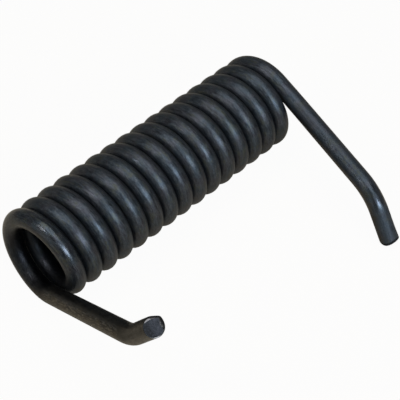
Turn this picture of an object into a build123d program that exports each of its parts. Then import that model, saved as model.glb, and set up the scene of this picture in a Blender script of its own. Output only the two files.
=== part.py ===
from build123d import *
import math
import os

# A heavy torsion spring wound from round wire, lying on a flat surface at rest.
# Millimetres and degrees. Origin at the middle of the coil, +X along its axis towards the far arm,
# +Z up from the surface.

# Wire and coil
wire_diameter = 10.0
mean_coil_diameter = 42.0
turn_gap = 0.4              # daylight between one turn and the next
full_turns = 15
part_turn = 241.0           # how much further the coil winds before the far arm leaves it

# Near arm: runs straight off the coil and ends in a hook
near_leg_length = 73.0
near_hook_radius = 30.0
near_hook_angle = 25.5
near_hook_lean = 8.0
near_tip_length = 20.0
near_edge_radius = 0.6      # edge rolled over by the shear that cut the wire

# Far arm: set outwards and back over the coil just after it leaves, then ends in a hook
far_runout = 10.0
far_set_radius = 20.0
far_set_angle = 25.5
far_set_lean = 144.0
far_leg_length = 52.5
far_hook_radius = 26.0
far_hook_angle = 44.0
far_hook_lean = -4.0
far_tip_length = 18.0
far_edge_radius = 1.0

wire_radius = wire_diameter / 2
coil_radius = mean_coil_diameter / 2
pitch = wire_diameter + turn_gap
coil_length = (full_turns + part_turn / 360) * pitch


def side_of_wire(travel, outward, middle, lean):
    """Unit vector square to the wire: in across the coil at lean 0, towards the coil's middle at 90,
    out from the coil at 180."""
    along = (middle - travel * travel.dot(middle)).normalized()
    across = travel.cross(along)
    if across.dot(outward) < 0:
        across = -across
    return along * math.sin(math.radians(lean)) - across * math.cos(math.radians(lean))


def bend_wire(start, side, radius, angle):
    """Axis of a bend towards side, and the plane in which the bend ends."""
    centre = start.origin + side * radius
    axis = Axis(centre, start.z_dir.cross(side))
    finish = centre + (start.origin - centre).rotate(axis, angle)
    return axis, Plane(finish, x_dir=start.x_dir.rotate(axis, angle), z_dir=start.z_dir.rotate(axis, angle))


def resting_up(tip, edge_radius):
    """Up, square to the coil's axis, for a spring that lies on its coil and on this tip."""
    rim_centre = tip.origin - tip.z_dir * edge_radius
    reach = math.hypot(rim_centre.X, rim_centre.Y)
    bearing = math.atan2(rim_centre.Y, rim_centre.X)
    drop = wire_radius
    # How far the rim hangs below its centre depends on which way is up, so the two settle together
    for _ in range(20):
        turn = bearing - math.acos((drop - coil_radius - wire_radius) / reach)
        up = Vector(math.cos(turn), math.sin(turn), 0)
        drop = edge_radius + (wire_radius - edge_radius) * math.sqrt(1 - tip.z_dir.dot(up) ** 2)
    return up


# The bends of each arm in order, each with the straight wire that follows it
near_bends = ((near_hook_radius, near_hook_angle, near_hook_lean, near_tip_length),)
far_bends = ((far_set_radius, far_set_angle, far_set_lean, far_leg_length),
             (far_hook_radius, far_hook_angle, far_hook_lean, far_tip_length))

with BuildPart() as torsion_spring:
    # The coil, wound upright about the Z axis
    with BuildLine() as wound_line:
        winding = Helix(pitch, coil_length, coil_radius, center=(0, 0, -coil_length / 2))
    near_outward = Vector((winding @ 0).X, (winding @ 0).Y, 0)
    far_outward = Vector((winding @ 1).X, (winding @ 1).Y, 0)
    near_end = Plane(winding @ 0, x_dir=near_outward, z_dir=-(winding % 0))
    far_end = Plane(winding @ 1, x_dir=far_outward, z_dir=winding % 1)
    with BuildSketch(near_end):
        Circle(wire_radius)
    sweep(path=winding, is_frenet=True)
    # The arms, each a straight run and then its bends
    for cut, outward, middle, straight_run, bends, edge_radius in (
        (near_end, near_outward, Vector(0, 0, 1), near_leg_length, near_bends, near_edge_radius),
        (far_end, far_outward, Vector(0, 0, -1), far_runout, far_bends, far_edge_radius),
    ):
        with BuildSketch(cut):
            Circle(wire_radius)
        extrude(amount=straight_run)
        cut = cut.offset(straight_run)
        for radius, angle, lean, straight_after in bends:
            axis, bent = bend_wire(cut, side_of_wire(cut.z_dir, outward, middle, lean), radius, angle)
            with BuildSketch(cut):
                Circle(wire_radius)
            revolve(axis=axis, revolution_arc=angle)
            with BuildSketch(bent):
                Circle(wire_radius)
            extrude(amount=straight_after)
            cut = bent.offset(straight_after)
        cut_edge = edges().filter_by(GeomType.CIRCLE).sort_by_distance(cut.origin)[0]
        fillet(cut_edge, edge_radius)

# Laid down on the coil and the far tip
far_tip = cut
rest_plane = Plane((0, 0, 0), x_dir=(0, 0, 1), z_dir=resting_up(far_tip, far_edge_radius))
torsion_spring.part = rest_plane.to_local_coords(torsion_spring.part)

os.makedirs("parts", exist_ok=True)
torsion_spring.part.label = "torsion_spring"
export_step(torsion_spring.part, "parts/torsion_spring.step")
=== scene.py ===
import math
import bpy
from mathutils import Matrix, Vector, noise


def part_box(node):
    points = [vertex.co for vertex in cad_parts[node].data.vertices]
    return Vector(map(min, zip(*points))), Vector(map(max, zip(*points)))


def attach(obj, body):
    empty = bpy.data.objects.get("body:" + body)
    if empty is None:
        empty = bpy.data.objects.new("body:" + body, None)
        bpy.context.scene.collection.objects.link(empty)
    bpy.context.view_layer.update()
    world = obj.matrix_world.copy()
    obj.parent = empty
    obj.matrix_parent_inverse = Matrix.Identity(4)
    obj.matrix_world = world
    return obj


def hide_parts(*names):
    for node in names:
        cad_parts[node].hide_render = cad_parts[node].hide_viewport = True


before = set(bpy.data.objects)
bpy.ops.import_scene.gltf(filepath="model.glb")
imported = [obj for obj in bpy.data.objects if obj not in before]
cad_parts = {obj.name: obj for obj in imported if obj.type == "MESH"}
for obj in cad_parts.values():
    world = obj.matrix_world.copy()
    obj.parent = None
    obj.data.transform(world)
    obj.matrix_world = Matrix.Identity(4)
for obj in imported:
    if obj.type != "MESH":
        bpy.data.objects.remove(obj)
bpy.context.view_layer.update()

# The spring is one length of hard-drawn round wire, wound on a mandrel and then set at both ends.
# It starts here as it comes off the reel, straight, with its two sheared ends. Every point keeps its place
# on the straight wire: X and Y across the section, Z along the wire from where the coil begins.

wire_diameter = 0.010
coil_radius = 0.021           # of the wire's centreline
pitch = 0.0104                # from one turn to the next
turns = 15 + 241 / 360

# A bend's lean is its direction round the wire: 0 goes in across the coil, and 90 degrees along its axis
near_leg_length = 0.073
near_hook_radius = 0.030
near_hook_angle = math.radians(25.5)
near_hook_lean = math.radians(8)
near_tip_length = 0.020

far_runout = 0.010
far_set_radius = 0.020
far_set_angle = math.radians(25.5)
far_set_lean = math.radians(-144)
far_leg_length = 0.0525
far_hook_radius = 0.026
far_hook_angle = math.radians(44)
far_hook_lean = math.radians(5.096)
far_tip_length = 0.018

wire_radius = wire_diameter / 2
turn_length = math.hypot(math.tau * coil_radius, pitch)
coil_wire = turns * turn_length
near_wire = near_leg_length + near_hook_radius * near_hook_angle + near_tip_length
far_hook_starts = coil_wire + far_runout + far_set_radius * far_set_angle + far_leg_length
near_end = -near_wire
far_end = far_hook_starts + far_hook_radius * far_hook_angle + far_tip_length

points_round = 64
ring_spacing = 0.0021         # on the plain wire
face_rings = 16               # on a cut face, from its middle to its brink
rim_rings = 8                 # over the rolled edge
blend_rings = 10              # from the edge to plain round wire
blend_crowding = 1.5          # power that draws those rings towards the cut
end_blend = 0.008             # wire over which the shape of a cut end dies away

coarse_tears = (700, 0.00006)     # of a sheared face: features to a metre, and height
fine_tears = (1900, 0.00003)
grain_fades = 8                   # power of the way out to the edge, where the grain has gone
brink_wear_and_shading = {-1: 0.4, 0: 1.0, 1: 1.0, 2: 0.5}      # by how many rings past the brink of the face


def raised(angle, base, *marks):
    """The base height and the marks round the wire on it. A mark is (height, middle, width), with its angles
    in degrees, and falls smoothly from its middle to nothing at its width on both sides."""
    for height, middle, width in marks:
        away = abs((angle - math.radians(middle) + math.pi) % math.tau - math.pi)
        if away < math.radians(width):
            base += height * (0.5 + 0.5 * math.cos(math.pi * away / math.radians(width)))
    return base


def torn(x, y, share, seed):
    """Height of the torn grain at a point of a sheared face, this share of the way out to the edge."""
    here = Vector((x, y, seed))
    grain = sum(noise.noise(here * scale) * height for scale, height in (coarse_tears, fine_tears))
    return grain * (1 - share ** grain_fades)


class NearEnd:
    """The blade came down on this end from above: it pressed a flat into the wire, drove the steel out into
    a bulge with a corner beside it, rolled the edge over, and broke a piece out of the side below."""

    pressed_flat = (-0.00022, -57, 34)
    pushed_corner = (0.00020, -20, 17)
    bulged_side = (0.00068, 5, 65)
    spread_side = (0.00006, 150, 40)
    outline = (pressed_flat, pushed_corner, bulged_side, spread_side)

    plain_edge = 0.00018
    edge_under_blade = (0.00072, -78, 72)
    edge_on_bulge = (0.00112, 14, 46)
    edge_depth = (plain_edge, edge_under_blade, edge_on_bulge)
    edge_further_in = ((0.00050, -75, 75), (0.00140, 8, 72), (0.00045, 100, 50))

    # Wear and painted light, where 1 is full: steel bared on the brink of the face and over the edge, with a
    # painted highlight there, and painted shade below it
    bared_lit_brink = ((1.1, -105, 34), (0.32, -65, 60), (0.30, 10, 60))
    bared_lit_edge = ((0.50, 105, 60),)
    shaded_rim = ((1.4, 8, 80), (0.8, -80, 60))

    broken_side = (0.0003, 173, 62)
    broken_from = 0.35            # of the way out from the middle of the face
    broken_curve = 1.3
    hollow = 0.00010
    hollow_curve = 3

    def face(self, x, y, share):
        """How far a point of the face lies in from the end of the wire."""
        out = max(0.0, (share - self.broken_from) / (1 - self.broken_from))
        broken = raised(math.atan2(y, x), 0.0, self.broken_side) * out ** self.broken_curve
        return broken + self.hollow * (1 - share ** self.hollow_curve) + torn(x, y, share, 0.0)


class FarEnd:
    """Sheared a little askew from the other side: one side of the edge is rolled well over, and the corner
    opposite is sharp and stands out as a burr."""

    burr = (0.00018, 33, 16)
    outline = (burr,)

    plain_edge = 0.00012
    rolled_side = (0.0022, 220, 80)
    eased_side = (0.0009, 80, 70)
    edge_depth = (plain_edge, rolled_side, eased_side)
    edge_further_in = ()

    bared_lit_brink = ()
    bared_lit_edge = ((0.30, 33, 25),)
    # Painted shade along the rolled side of the edge
    shaded_rim = ((1.2, 115, 100),)

    low_side = math.radians(-17)
    askew = 0.00054               # from the high side to the low one
    hollow = 0.00010
    hollow_curve = 4

    def face(self, x, y, share):
        """How far a point of the face lies in from the end of the wire."""
        across = (x * math.cos(self.low_side) + y * math.sin(self.low_side) + wire_radius) / wire_diameter
        return self.askew * across + self.hollow * (1 - share ** self.hollow_curve) + torn(x, y, share, 0.2)


def cut_end(end):
    """Rings of a sheared end from near the middle of its face out to the wire's side, with (x, y, depth) for
    each point."""
    rings = []
    for step in range(1, face_rings + rim_rings + 1):
        ring = []
        for k in range(points_round):
            angle = math.tau * k / points_round
            radius = raised(angle, wire_radius, *end.outline)
            edge = raised(angle, *end.edge_depth)
            edge_width = raised(angle, edge, *end.edge_further_in)
            turn = math.pi / 2 * max(0, step - face_rings) / rim_rings
            reach = (radius - edge_width) * min(1, step / face_rings) + edge_width * math.sin(turn)
            x = reach * math.cos(angle)
            y = reach * math.sin(angle)
            ring.append((x, y, edge * (1 - math.cos(turn)) + end.face(x, y, reach / radius)))
        rings.append(ring)
    return rings


def side_ring(cut, share):
    """A ring of the wire's side near an end: the cut's outer ring at share 0, round wire at share 1."""
    eased = share * share * (3 - 2 * share)
    ring = []
    for k, (x, y, depth) in enumerate(cut[-1]):
        angle = math.tau * k / points_round
        ring.append((x * (1 - eased) + wire_radius * math.cos(angle) * eased,
                     y * (1 - eased) + wire_radius * math.sin(angle) * eased,
                     depth * (1 - share) + end_blend * share))
    return ring


def edge_wear_and_shading(end, step):
    """Wear and painted light along the edge of a cut, for each point of one of its rings: above 0 where
    handling has bared the steel and a highlight is painted, on the brink of the face or over the whole edge,
    and below 0 where shade is painted on the edge."""
    past_brink = step - face_rings
    on_brink = brink_wear_and_shading.get(past_brink, 0.0)
    on_edge = 1 <= past_brink <= rim_rings + 1
    under_brink = 2 < past_brink < rim_rings + 3
    angles = [math.tau * k / points_round for k in range(points_round)]
    return [max(on_brink * raised(angle, 0.0, *end.bared_lit_brink),
                on_edge * raised(angle, 0.0, *end.bared_lit_edge))
            - under_brink * raised(angle, 0.0, *end.shaded_rim) for angle in angles]


def whole_end(end):
    """A sheared end from the middle of its face to plain wire: the depth of that middle, and each ring's
    points with their wear and painted light."""
    cut = cut_end(end)
    side = [side_ring(cut, (step / blend_rings) ** blend_crowding) for step in range(1, blend_rings)]
    return end.face(0, 0, 0), [(ring, edge_wear_and_shading(end, step)) for step, ring in enumerate(cut + side, 1)]


straight_points = []
straight_rings = []
wear_and_shading_points = []


def add_point(point):
    straight_points.append(point)
    wear_and_shading_points.append(0.0)


def add_ring(points, wear_and_shading):
    straight_rings.append(range(len(straight_points), len(straight_points) + len(points)))
    straight_points.extend(points)
    wear_and_shading_points.extend(wear_and_shading)


near_middle, near_rings = whole_end(NearEnd())
far_middle, far_rings = whole_end(FarEnd())
plain_wire = far_end - near_end - 2 * end_blend
plain_rings = round(plain_wire / ring_spacing)

add_point((0, 0, near_end + near_middle))
for ring, ring_wear_and_shading in near_rings:
    add_ring([(x, y, near_end + depth) for x, y, depth in ring], ring_wear_and_shading)
for step in range(plain_rings + 1):
    add_ring([(wire_radius * math.cos(math.tau * k / points_round),
               wire_radius * math.sin(math.tau * k / points_round),
               near_end + end_blend + plain_wire * step / plain_rings) for k in range(points_round)],
             [0.0] * points_round)
for ring, ring_wear_and_shading in reversed(far_rings):
    add_ring([(x, y, far_end - depth) for x, y, depth in ring], ring_wear_and_shading)
add_point((0, 0, far_end - far_middle))

straight_faces = []
sheared_faces = []
for step, (lower, upper) in enumerate(zip(straight_rings, straight_rings[1:])):
    for k in range(points_round):
        j = (k + 1) % points_round
        straight_faces.append((lower[k], lower[j], upper[j], upper[k]))
        sheared_faces.append(step < face_rings - 1 or step >= len(straight_rings) - face_rings)
last = len(straight_points) - 1
for k in range(points_round):
    j = (k + 1) % points_round
    straight_faces.append((0, straight_rings[0][j], straight_rings[0][k]))
    straight_faces.append((last, straight_rings[-1][k], straight_rings[-1][j]))
    sheared_faces.extend((True, True))

straight_mesh = bpy.data.meshes.new("straight_wire")
straight_mesh.from_pydata(straight_points, [], straight_faces)
straight_mesh.shade_smooth()
drawn = straight_mesh.attributes.new("drawn", "FLOAT_VECTOR", "POINT")
drawn.data.foreach_set("vector", [c for point in straight_points for c in point])
wear_and_shading = straight_mesh.attributes.new("wear_and_shading", "FLOAT", "POINT")
wear_and_shading.data.foreach_set("value", wear_and_shading_points)
sheared = straight_mesh.attributes.new("sheared", "BOOLEAN", "FACE")
sheared.data.foreach_set("value", sheared_faces)
straight_wire = bpy.data.objects.new("straight_wire", straight_mesh)
bpy.context.scene.collection.objects.link(straight_wire)

# The finish is the thin blue-black scale of oil tempering, blue to violet and olive in patches, under oil.
# Dirt has caked in the gaps between the turns, which are also darkened as painted shade, and the bore is
# darkened as painted shade. Underneath and on the arms the wire is brown, partly dried oil and partly a
# painted reflection of the warm floor, and handling has rubbed the first turn and the far hook smooth.

# Each layer has its colour, the noise between which it comes in, and the strength that it comes to
blue_scale = (0.039, 0.048, 0.060, 1)
violet_scale = (0.049, 0.050, 0.061, 1)
violet_shows = (0.42, 0.60)
olive_scale = (0.055, 0.057, 0.046, 1)
olive_shows = (0.50, 0.64)
olive_strength = 0.8
clean_scale = (0.058, 0.070, 0.090, 1)
clean_strength = 0.20
worn_scale = (0.094, 0.102, 0.112, 1)
worn_shows = (0.50, 0.62)
worn_strength = 0.55
# Dark dirt in patches; the same colour paints shade in the gaps, the bore, the far end's rolled edge and
# under the brinks of the cuts
dirt_and_painted_shade = (0.011, 0.011, 0.013, 1)
caked_shows = (0.38, 0.50)
caked_strength = 0.55
far_arm_spared = 0.35                 # of the wear and dirt on the rest
# Brown underneath and on the arms: dried oil, and a painted reflection of the warm floor on the faces that
# look down
oil_and_floor_reflection = (0.047, 0.037, 0.025, 1)
brown_shows = (0.0, 0.9)
brown_strength = 0.9
brown_ragged = 1.4
brown_on_near_arm = 1.1
brown_on_far_arm = 0.5
thick_oil = (0.150, 0.135, 0.112, 1)
thick_shows = (0.52, 0.58)
thick_strength = 0.7
# Soot in patches on the near arm; the same colour also paints shade along the near leg's top and in the near
# hook's crook
soot_and_shade = (0.013, 0.011, 0.009, 1)
soot_shows = (0.44, 0.50)
soot_strength = 0.9
bared_steel_and_highlight = (0.40, 0.36, 0.36, 1)
bared_highlight_shows = (0.10, 0.75)
bared_highlight_strength = 0.8
rim_shade_shows = (0.10, 0.80)
rim_shade_strength = 0.85

# Along the wire from where the coil begins: from where to where each place comes in or goes out
coil_comes_in = (-0.004, 0.004)
coil_goes_out = (coil_wire - 0.004, coil_wire + 0.004)
near_arm_goes_out = (-0.01, 0.04)
near_leg_comes_in = (-near_leg_length - 0.010, -near_leg_length - 0.002)
near_bend_goes_out = (-near_leg_length - 0.006, -near_leg_length + 0.003)
far_arm_comes_in = (coil_wire - 0.01, coil_wire + 0.03)
rub_comes_in = (0.0, 0.02)
rub_goes_out = (0.72 * turn_length, 0.84 * turn_length)
hook_comes_in = (far_hook_starts + 0.004, far_hook_starts + 0.012)
hook_goes_out = (far_hook_starts + 0.0145, far_hook_starts + 0.0185)
far_tip_comes_in = (far_hook_starts + 0.0155, far_hook_starts + 0.022)
cut_comes_in = (far_end - 0.0020, far_end - 0.0006)
cut_ragged = 0.0012                   # how far noise shifts the edge of that place
cut_strength = 0.6

# Painted shade in the gaps between the turns, where dirt lies too, in the bore, on the near arm's crook and
# along its top
gap_comes_in = (0.0032, 0.0054)       # from the middle of the wire along the coil's axis
gap_shift = 0.0009                    # the dirt and painted shade lie off that middle by this
gap_ragged = 0.0010
gap_strength = 0.8
square_to_axis = (0.0, 1.0, 1.0)
bore_goes_out = (0.0165, 0.0215)      # from the coil's axis
bore_strength = 0.78
bore_shade_thins = (0.4 * turn_length, 0.9 * turn_length)
bore_shade_lost = 0.11
crook_comes_in = (-0.0012, 0.0008)    # on the side that the near hook bends to
crook_ragged = 0.006
crook_strength = 0.9
top_shade_from_facing = (0.62, 0.88)             # how far it faces up
top_shade_strength = 0.85
most_painted_shade = 0.9

# Roughness, what each mark adds to it, and what rubbing takes away
oiled_roughness = 0.42
blotch_roughness = 0.25
line_roughness = 0.20
scuff_roughness = 0.40
far_tip_roughness = 0.20
gap_roughness = 0.15
rim_shade_roughness = 0.15
rubbed_gloss = 0.17
hook_gloss = 0.30
roughness_limits = (0.15, 0.80)
scale_metallic = 0.82
bore_metallic = 0.2

# Relief, in tenths of a millimetre
relief_unit = 0.0001                  # which is this in metres
die_relief = 0.12
line_relief = 0.35
scuff_relief = 0.45
blotch_relief = 0.7
rubbed_relief = 0.3                   # lost where the wire is rubbed
grain_relief = 0.22


class Term:
    """A value in a node tree. Its operators add Math or Vector Math nodes, and node() adds any other."""

    def __init__(self, tree, output=None):
        self.tree = tree
        self.output = output

    def node(self, kind, settings=None, sockets=None, result=0):
        """A node of this kind: its settings are set first, then the values or links of its sockets."""
        made = self.tree.nodes.new(kind)
        for name, value in (settings or {}).items():
            setattr(made, name, value)
        for name, value in (sockets or {}).items():
            if isinstance(value, Term):
                self.tree.links.new(value.output, made.inputs[name])
            else:
                made.inputs[name].default_value = value
        return Term(self.tree, made.outputs[result]) if made.outputs else None

    def result(self, name):
        """Another output of the same node."""
        return Term(self.tree, self.output.node.outputs[name])

    def joined(self, operation, first, second):
        """The node for first operation second: Math for two numbers, and Scale or Vector Math where there is
        a vector."""
        vectors = [isinstance(v, tuple) or isinstance(v, Term) and v.output.type == "VECTOR"
                   for v in (first, second)]
        if not any(vectors):
            return self.node("ShaderNodeMath", {"operation": operation}, {0: first, 1: second})
        if operation == "MULTIPLY" and not all(vectors):
            vector, number = (first, second) if vectors[0] else (second, first)
            return self.node("ShaderNodeVectorMath", {"operation": "SCALE"}, {0: vector, "Scale": number})
        return self.node("ShaderNodeVectorMath", {"operation": operation}, {0: first, 1: second})

    def __add__(self, other):
        return self.joined("ADD", self, other)

    def __radd__(self, other):
        return self.joined("ADD", other, self)

    def __sub__(self, other):
        return self.joined("SUBTRACT", self, other)

    def __rsub__(self, other):
        return self.joined("SUBTRACT", other, self)

    def __mul__(self, other):
        return self.joined("MULTIPLY", self, other)

    def __rmul__(self, other):
        return self.joined("MULTIPLY", other, self)

    def __truediv__(self, other):
        return self.joined("DIVIDE", self, other)

    def __rtruediv__(self, other):
        return self.joined("DIVIDE", other, self)

    def __pow__(self, other):
        return self.joined("POWER", self, other)

    def __rpow__(self, other):
        return self.joined("POWER", other, self)

    def __neg__(self):
        return self.joined("MULTIPLY", self, -1)


def emptied(owner):
    """The node tree of a material or a world, with nothing in it, as a Term."""
    owner.use_nodes = True
    owner.node_tree.nodes.clear()
    return Term(owner.node_tree)


def limited(value, low, high):
    """The value, held between low and high."""
    return value.node("ShaderNodeClamp", {}, {"Value": value, "Min": low, "Max": high})


def rising(value, low, high):
    """0 up to low and 1 from high, with a smooth rise between them."""
    return value.node("ShaderNodeMapRange", {"interpolation_type": "SMOOTHSTEP"},
                      {"Value": value, "From Min": low, "From Max": high})


def cloud(vector, per_metre, detail=3.0, roughness=0.5, distortion=0.0):
    """Noise of about 0 to 1, with so many features to a metre."""
    return vector.node("ShaderNodeTexNoise", {"noise_dimensions": "3D"}, {
        "Vector": vector, "Scale": per_metre, "Detail": detail, "Roughness": roughness,
        "Distortion": distortion}, "Fac")


def mixed(share, first, second):
    """The first colour at share 0 and the second at 1."""
    return share.node("ShaderNodeMix", {"data_type": "RGBA"}, {0: share, 6: first, 7: second}, 2)


finish = bpy.data.materials.new("oiled_spring_steel")
nodes = emptied(finish)
place = nodes.node("ShaderNodeTexCoord", {}, {}, "Object")
on_wire = nodes.node("ShaderNodeAttribute", {"attribute_name": "drawn"}, {}, "Vector")
normal = nodes.node("ShaderNodeNewGeometry", {}, {}, "Normal")
facing = nodes.node("ShaderNodeSeparateXYZ", {}, {0: normal}, "Z")
section = nodes.node("ShaderNodeSeparateXYZ", {}, {0: on_wire}, "X")
along = section.result("Z")
off_axis = nodes.node("ShaderNodeVectorMath", {"operation": "LENGTH"}, {0: place * square_to_axis}, "Value")

# What the die and handling left is drawn out along the wire; patches, blotches and grain are not, and the
# blotches are moved away from the patches so that the two don't fall together
die_lines = cloud(on_wire * (1.0, 1.0, 0.014), 3400, detail=2.0)
broad_lines = cloud(on_wire * (1.0, 1.0, 0.06), 900)
scuffs = cloud(on_wire * (1.0, 1.0, 0.22), 1300, roughness=0.65, distortion=0.5)
patches = cloud(place, 150, detail=4.0, roughness=0.6)
blotches = cloud(place + (0.3, 0.1, 0.2), 260, detail=4.0, roughness=0.65)
grain = cloud(place, 1300, roughness=0.6)
scuffed = scuffs - 0.5
blotched = blotches - 0.5
grained = grain - 0.5
lined = broad_lines - 0.5

on_coil = rising(along, *coil_comes_in) * (1 - rising(along, *coil_goes_out))
on_near_arm = 1 - rising(along, *near_arm_goes_out)
on_near_leg = on_near_arm * rising(along, *near_leg_comes_in)
on_far_arm = rising(along, *far_arm_comes_in)
across = nodes.node("ShaderNodeMath", {"operation": "ABSOLUTE"}, {0: section + gap_shift})
in_gap = rising(across + blotched * gap_ragged, *gap_comes_in) * on_coil
inside = 1 - rising(off_axis, *bore_goes_out)
# Painted shade in the bore, a little lighter from the second turn on, where the bore is also made more
# metallic
in_bore = inside * (bore_strength - bore_shade_lost * rising(along, *bore_shade_thins)) * on_coil
rubbed = (1 - rising(along, *rub_goes_out)) * rising(along, *rub_comes_in) * (1 - inside)
marked = 1 - on_far_arm * far_arm_spared
on_hook = rising(along, *hook_comes_in) * (1 - rising(along, *hook_goes_out))
on_far_tip = rising(along, *far_tip_comes_in)
# Painted shade in the crook, on the side that the near hook bends to
in_crook = (rising(-section.result("Y") + scuffed * crook_ragged, *crook_comes_in)
            * (1 - rising(along, *near_bend_goes_out)))
scratched = scuffs * 0.6 + grain * 0.4
wear_and_shading_here = nodes.node("ShaderNodeAttribute", {"attribute_name": "wear_and_shading"}, {}, "Fac")

colour = mixed(rising(patches, *violet_shows), blue_scale, violet_scale)
olive = rising(blotches * 0.6 + broad_lines * 0.4, *olive_shows)
colour = mixed(olive * olive_strength, colour, olive_scale)
colour = mixed(on_far_arm * clean_strength, colour, clean_scale)
colour = mixed(rising(scratched, *worn_shows) * marked * worn_strength, colour, worn_scale)
uncaked = rising(scuffs * 0.6 + grain * 0.2 + blotches * 0.2, *caked_shows)
colour = mixed((1 - uncaked) * marked * caked_strength, colour, dirt_and_painted_shade)
# Painted reflection of the warm floor, with dried oil: brown where the wire faces down, and on the arms
under = -facing + blotched * brown_ragged + on_near_arm * brown_on_near_arm + on_far_arm * brown_on_far_arm
brown = rising(under, *brown_shows)
colour = mixed(brown * brown_strength, colour, oil_and_floor_reflection)
colour = mixed(on_near_arm * rising(scratched, *thick_shows) * thick_strength, colour, thick_oil)
unsooted = rising(scuffs * 0.6 + blotches * 0.4, *soot_shows)
colour = mixed(on_near_arm * (1 - unsooted) * soot_strength, colour, soot_and_shade)
# Painted shade: the near leg is darkened along its top, where it faces up, and the near hook in its crook
shaded_top = on_near_leg * rising(facing + scuffed * 0.6 + grained * 0.3, *top_shade_from_facing)
painted_shade_here = limited(shaded_top * top_shade_strength + in_crook * crook_strength, 0.0, most_painted_shade)
colour = mixed(painted_shade_here, colour, soot_and_shade)
# Dirt and painted shade in the gaps between the turns, and painted shade in the bore
colour = mixed(limited(in_gap * gap_strength + in_bore, 0.0, 1.0), colour, dirt_and_painted_shade)
# Painted shade: the last two millimetres of the far end are darkened, over its rolled edge
colour = mixed(rising(along + scuffed * cut_ragged, *cut_comes_in) * cut_strength, colour, dirt_and_painted_shade)
# Bared steel on the brink and edge of the cuts, whose bright colour also paints a highlight there
bright_edge = rising(wear_and_shading_here + grained * 0.4, *bared_highlight_shows)
colour = mixed(bright_edge * bared_highlight_strength, colour, bared_steel_and_highlight)
# Painted shade on the rolled edges of the cuts, just past the brink
rim_shade = rising(grained * 0.3 - wear_and_shading_here, *rim_shade_shows)
colour = mixed(rim_shade * rim_shade_strength, colour, dirt_and_painted_shade)

roughness = (oiled_roughness + blotched * blotch_roughness + lined * line_roughness - rubbed * rubbed_gloss
             - on_hook * hook_gloss + on_far_tip * far_tip_roughness + in_gap * gap_roughness
             + rim_shade * rim_shade_roughness + scuffed * marked * scuff_roughness)
relief = ((die_lines - 0.5) * die_relief + lined * line_relief + scuffed * marked * scuff_relief
          + blotched * (blotch_relief - rubbed * rubbed_relief) + grained * marked * grain_relief)
gloss = nodes.node("ShaderNodeBsdfPrincipled", {}, {
    "Base Color": colour,
    "Metallic": limited(scale_metallic + in_bore * bore_metallic + bright_edge, 0.0, 1.0),
    "Roughness": limited(roughness, *roughness_limits),
    "IOR": 1.5,
    "Normal": nodes.node("ShaderNodeBump", {}, {
        "Strength": 1.0, "Distance": relief_unit, "Height": relief})}, "BSDF")
nodes.node("ShaderNodeOutputMaterial", {}, {"Surface": gloss})

# The two sheared faces are bare steel, torn as the blade went through and since dulled to a violet grey.
# The piece that broke out of the near one left a rougher patch with pores in it, coloured darker as painted
# shade.

torn_light = (0.032, 0.032, 0.041, 1)
torn_dark = (0.016, 0.017, 0.023, 1)
light_shows = (0.36, 0.60)
broken_patch_shade = (0.005, 0.005, 0.007, 1)
broken_comes_in = (0.0006, 0.0022)    # from the middle of the wire to its broken side
broken_goes_out = (0.0, 0.001)        # along the wire, which leaves the far face out
broken_ragged = 0.004
pores_show = (0.48, 0.58)
pores_lighter = 0.8
torn_metallic = 0.5
torn_roughness = 0.50
pore_roughness = 0.2
broken_roughness = 0.15
torn_limits = (0.3, 0.8)
torn_relief_unit = 0.00012            # one unit of the two reliefs below, in metres
tear_relief = 0.6
pore_relief = 0.2

torn_steel = bpy.data.materials.new("sheared_steel")
nodes = emptied(torn_steel)
place = nodes.node("ShaderNodeTexCoord", {}, {}, "Object")
tears = cloud(place, 420, detail=4.0, roughness=0.6, distortion=0.3)
pores = cloud(place, 1500, roughness=0.6)
on_wire = nodes.node("ShaderNodeAttribute", {"attribute_name": "drawn"}, {}, "Vector")
section = nodes.node("ShaderNodeSeparateXYZ", {}, {0: on_wire}, "X")
broken = (rising(-section + (tears - 0.5) * broken_ragged, *broken_comes_in)
          * (1 - rising(section.result("Z"), *broken_goes_out)))
colour = mixed(rising(tears * 0.75 + pores * 0.25, *light_shows), torn_dark, torn_light)
pored = rising(pores * 0.6 + tears * 0.4, *pores_show) * pores_lighter
colour = mixed(broken * (1 - pored), colour, broken_patch_shade)
wear_and_shading_here = nodes.node("ShaderNodeAttribute", {"attribute_name": "wear_and_shading"}, {}, "Fac")
# Bared steel with a painted highlight on the brink
colour = mixed(rising(wear_and_shading_here, *bared_highlight_shows) * bared_highlight_strength, colour, bared_steel_and_highlight)
roughness = torn_roughness + (pores - 0.5) * pore_roughness + broken * broken_roughness
dulled = nodes.node("ShaderNodeBsdfPrincipled", {}, {
    "Base Color": colour,
    "Metallic": torn_metallic,
    "Roughness": limited(roughness, *torn_limits),
    "Normal": nodes.node("ShaderNodeBump", {}, {
        "Strength": 1.0, "Distance": torn_relief_unit,
        "Height": tears * tear_relief + pores * pore_relief})}, "BSDF")
nodes.node("ShaderNodeOutputMaterial", {}, {"Surface": dulled})

# Forming, done as the coiling machine and the bender do it, on the straight wire. A bend slides every point
# beyond its start back to it and turns it about the former; points further along ride with the end of the
# bend. The outermost bend is made first, and the coil is wound last, with both arms riding on it.

near_leg_leaves = math.radians(-120.506)      # round the coil's axis, from +Y towards +Z


def new_tree(name, inputs):
    """A Geometry Nodes tree with these named inputs, and a Term for each of them."""
    tree = bpy.data.node_groups.new(name, "GeometryNodeTree")
    for label, kind in inputs:
        tree.interface.new_socket(name=label, in_out="INPUT", socket_type="NodeSocket" + kind)
    tree.interface.new_socket(name="Geometry", in_out="OUTPUT", socket_type="NodeSocketGeometry")
    first = Term(tree).node("NodeGroupInput")
    return tree, {label: first.result(label) for label, _ in inputs}


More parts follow.
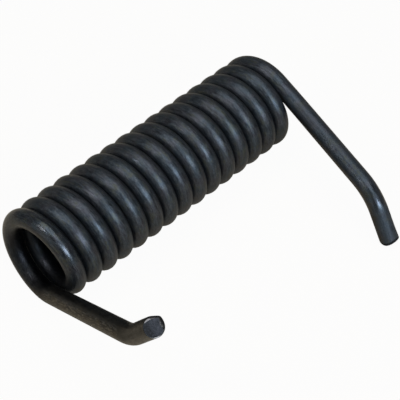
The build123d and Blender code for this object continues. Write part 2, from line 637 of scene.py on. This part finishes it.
def place_along_wire(nodes):
    """How far each point lies along the straight wire."""
    point = nodes.node("GeometryNodeInputNamedAttribute", {"data_type": "FLOAT_VECTOR"}, {"Name": "drawn"},
                       "Attribute")
    return nodes.node("ShaderNodeSeparateXYZ", {}, {0: point}, "Z")


def up_wire(nodes, length):
    """A step of this length along the straight wire."""
    return nodes.node("ShaderNodeCombineXYZ", {}, {"Z": length})


bend_tree, given = new_tree("Bend wire", [
    ("Geometry", "Geometry"), ("Start", "Float"), ("Towards", "Float"),
    ("Radius", "Float"), ("Angle", "Float"), ("Lean", "Float")])
nodes = Term(bend_tree)
beyond_start = (place_along_wire(nodes) - given["Start"]) * given["Towards"]
taken_in = limited(beyond_start, 0.0, given["Radius"] * given["Angle"])
side = nodes.node("ShaderNodeCombineXYZ", {}, {
    "X": nodes.node("ShaderNodeMath", {"operation": "SINE"}, {0: given["Lean"]}),
    "Y": -nodes.node("ShaderNodeMath", {"operation": "COSINE"}, {0: given["Lean"]})})
travel = up_wire(nodes, given["Towards"])
bent = nodes.node("ShaderNodeVectorRotate", {"rotation_type": "AXIS_ANGLE"}, {
    "Vector": nodes.node("GeometryNodeInputPosition") - travel * taken_in,
    "Center": side * given["Radius"] + up_wire(nodes, given["Start"]),
    "Axis": nodes.node("ShaderNodeVectorMath", {"operation": "CROSS_PRODUCT"}, {0: travel, 1: side}),
    "Angle": taken_in / given["Radius"]})
nodes.node("NodeGroupOutput", {}, {"Geometry": nodes.node(
    "GeometryNodeSetPosition", {}, {"Geometry": given["Geometry"], "Position": bent})})

sizes = {
    "Coil Radius": coil_radius, "Pitch": pitch, "Turns": turns, "Near Leg Leaves": near_leg_leaves,
    "Near Leg Length": near_leg_length, "Near Hook Radius": near_hook_radius,
    "Near Hook Angle": near_hook_angle, "Near Hook Lean": near_hook_lean,
    "Far Run-out": far_runout, "Far Set Radius": far_set_radius, "Far Set Angle": far_set_angle,
    "Far Set Lean": far_set_lean, "Far Leg Length": far_leg_length, "Far Hook Radius": far_hook_radius,
    "Far Hook Angle": far_hook_angle, "Far Hook Lean": far_hook_lean}
steels = {"Finish": finish, "Sheared Steel": torn_steel}

spring_tree, given = new_tree("Torsion spring", [
    ("Geometry", "Geometry"), *((label, "Float") for label in sizes),
    *((label, "Material") for label in steels)])
nodes = Term(spring_tree)
given_turn = nodes.node("ShaderNodeMath", {"operation": "SQRT"}, {
    0: (given["Coil Radius"] * math.tau) ** 2 + given["Pitch"] ** 2})
given_coil = given["Turns"] * given_turn
set_start = given_coil + given["Far Run-out"]
hook_start = set_start + given["Far Set Radius"] * given["Far Set Angle"] + given["Far Leg Length"]
shaped = given["Geometry"]
for start, towards, name in ((-given["Near Leg Length"], -1, "Near Hook"), (hook_start, 1, "Far Hook"),
                             (set_start, 1, "Far Set")):
    shaped = nodes.node("GeometryNodeGroup", {"node_tree": bend_tree}, {
        "Geometry": shaped, "Start": start, "Towards": towards, "Radius": given[name + " Radius"],
        "Angle": given[name + " Angle"], "Lean": given[name + " Lean"]})

# Winding: the wire leans by the coil's lead, and each point slides back to where the coil begins and
# then turns and advances with the mandrel.
lead = nodes.node("ShaderNodeMath", {"operation": "ARCTAN2"}, {
    0: given["Pitch"], 1: given["Coil Radius"] * math.tau})
wound = limited(place_along_wire(nodes), 0.0, given_coil)
revolutions = wound / given_turn
slid = nodes.node("GeometryNodeInputPosition") - up_wire(nodes, wound)
leaned = nodes.node("ShaderNodeVectorRotate", {"rotation_type": "Y_AXIS"}, {"Vector": slid, "Angle": lead})
on_mandrel = leaned + nodes.node("ShaderNodeCombineXYZ", {}, {
    "X": (revolutions - given["Turns"] * 0.5) * given["Pitch"], "Y": given["Coil Radius"]})
turned = nodes.node("ShaderNodeVectorRotate", {"rotation_type": "X_AXIS"}, {
    "Vector": on_mandrel, "Angle": revolutions * math.tau + given["Near Leg Leaves"]})
shaped = nodes.node("GeometryNodeSetPosition", {}, {"Geometry": shaped, "Position": turned})
shaped = nodes.node("GeometryNodeRealizeInstances", {}, {"Geometry": shaped})
shaped = nodes.node("GeometryNodeSetMaterial", {}, {"Geometry": shaped, "Material": given["Finish"]})
on_face = nodes.node("GeometryNodeInputNamedAttribute", {"data_type": "BOOLEAN"}, {"Name": "sheared"},
                     "Attribute")
nodes.node("NodeGroupOutput", {}, {"Geometry": nodes.node("GeometryNodeSetMaterial", {}, {
    "Geometry": shaped, "Selection": on_face, "Material": given["Sheared Steel"]})})

forming = straight_wire.modifiers.new("forming", "NODES")
forming.node_group = spring_tree
values = {**sizes, **steels}
for item in spring_tree.interface.items_tree:
    if item.in_out == "INPUT" and item.name in values:
        forming[item.identifier] = values[item.name]
formed = straight_wire.evaluated_get(bpy.context.evaluated_depsgraph_get())
spring_wire = bpy.data.objects.new("spring_wire", bpy.data.meshes.new_from_object(formed))
bpy.context.scene.collection.objects.link(spring_wire)
bpy.data.objects.remove(straight_wire)
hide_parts("torsion_spring")
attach(spring_wire, "root")

# The floor is a wide board of pale varnished wood that the coil and the far tip rest on. The camera sees it,
# and the air of the room above it, as near white, and it keeps the spring's shadow.

floor_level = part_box("torsion_spring")[0].z
floor_half = 4.0
floor_colour = (0.47, 0.375, 0.262, 1)
room_shade = (0.13, 0.13, 0.115, 1)
white_paper = (1, 1, 1, 1)
lit_share = 0.04              # of the floor that the camera sees
mirrored_white = 0.1          # how much of the white the spring mirrors


def shown_white(nodes):
    """How much of the white paper a ray sees: all of it from the camera, and a share from the steel."""
    ray = nodes.node("ShaderNodeLightPath", {}, {}, "Is Camera Ray")
    return ray + (ray.result("Is Glossy Ray") + ray.result("Is Transmission Ray")) * mirrored_white


floor_mesh = bpy.data.meshes.new("floor")
floor_mesh.from_pydata([(x * floor_half, y * floor_half, floor_level) for x, y in
                        ((-1, -1), (1, -1), (1, 1), (-1, 1))], [], [(0, 1, 2, 3)])
floor = bpy.data.objects.new("floor", floor_mesh)
bpy.context.scene.collection.objects.link(floor)
board = bpy.data.materials.new("floor")
nodes = emptied(board)
varnished = nodes.node("ShaderNodeBsdfPrincipled", {}, {
    "Base Color": floor_colour, "Roughness": 0.4, "IOR": 1.45}, "BSDF")
paper = nodes.node("ShaderNodeEmission", {}, {"Color": white_paper, "Strength": 1.0})
nodes.node("ShaderNodeOutputMaterial", {}, {"Surface": nodes.node(
    "ShaderNodeMixShader", {}, {0: shown_white(nodes) * (1 - lit_share), 1: varnished, 2: paper})})
floor_mesh.materials.append(board)

world = bpy.data.worlds.new("room")
bpy.context.scene.world = world
nodes = emptied(world)
room = nodes.node("ShaderNodeBackground", {}, {"Color": room_shade, "Strength": 1.0})
paper = nodes.node("ShaderNodeBackground", {}, {"Color": white_paper, "Strength": 1.0})
nodes.node("ShaderNodeOutputWorld", {}, {"Surface": nodes.node(
    "ShaderNodeMixShader", {}, {0: shown_white(nodes), 1: room, 2: paper})})

# The light comes from a wide soft ceiling, a window low in front with the pale wall round it, a small window
# high on the left, and the left wall, which sends some of it back.

daylight = (0.75, 0.89, 1.0)
soft_daylight = (0.90, 0.97, 1.0)
clear_daylight = (0.95, 0.98, 1.0)
wall_light = (0.90, 1.0, 0.95)


def softbox(name, azimuth, elevation, distance, width, radiance, colour):
    """A round lamp that faces the spring. Its azimuth runs from +Y towards +X, in degrees as its elevation
    is, and at radiance 1 it looks white."""
    lamp = bpy.data.lights.new(name, "AREA")
    lamp.shape = "DISK"
    lamp.size = width
    lamp.energy = radiance * math.pi * math.pi * width ** 2 / 4
    lamp.color = colour
    azimuth = math.radians(azimuth)
    elevation = math.radians(elevation)
    back = Vector((math.sin(azimuth) * math.cos(elevation), math.cos(azimuth) * math.cos(elevation),
                   math.sin(elevation)))
    stand = bpy.data.objects.new(name, lamp)
    stand.location = back * distance
    stand.rotation_mode = "QUATERNION"
    stand.rotation_quaternion = back.to_track_quat("Z", "Y")
    bpy.context.scene.collection.objects.link(stand)


softbox("ceiling", azimuth=160, elevation=87, distance=2.2, width=2.15, radiance=2.2, colour=soft_daylight)
softbox("skylight", azimuth=-79, elevation=49.5, distance=0.57, width=0.084, radiance=28.0,
        colour=clear_daylight)
softbox("pale_wall", azimuth=-84, elevation=20, distance=2.2, width=2.4, radiance=0.36, colour=wall_light)
softbox("window_wall", azimuth=-172, elevation=34, distance=2.2, width=2.4, radiance=1.2, colour=daylight)
softbox("window", azimuth=-172, elevation=28.5, distance=1.5, width=0.6, radiance=11.5, colour=daylight)

# The camera looks down on the near end from in front and the left. It has a long lens, so that the coil
# hardly narrows with distance, and stands a little over 0.6 m away.

camera_place = (-0.28234, -0.31723, 0.46084)
camera_down = math.radians(48.65)
camera_turn = math.radians(-44.84)

camera = bpy.data.objects.new("camera", bpy.data.cameras.new("camera"))
camera.location = camera_place
camera.rotation_euler = (math.radians(90) - camera_down, 0, camera_turn)
camera.data.lens = 108.08
camera.data.sensor_width = 36
camera.data.clip_start = 0.01
camera.data.clip_end = 50
bpy.context.scene.collection.objects.link(camera)
bpy.context.scene.camera = camera
bpy.context.scene.view_settings.view_transform = "Standard"
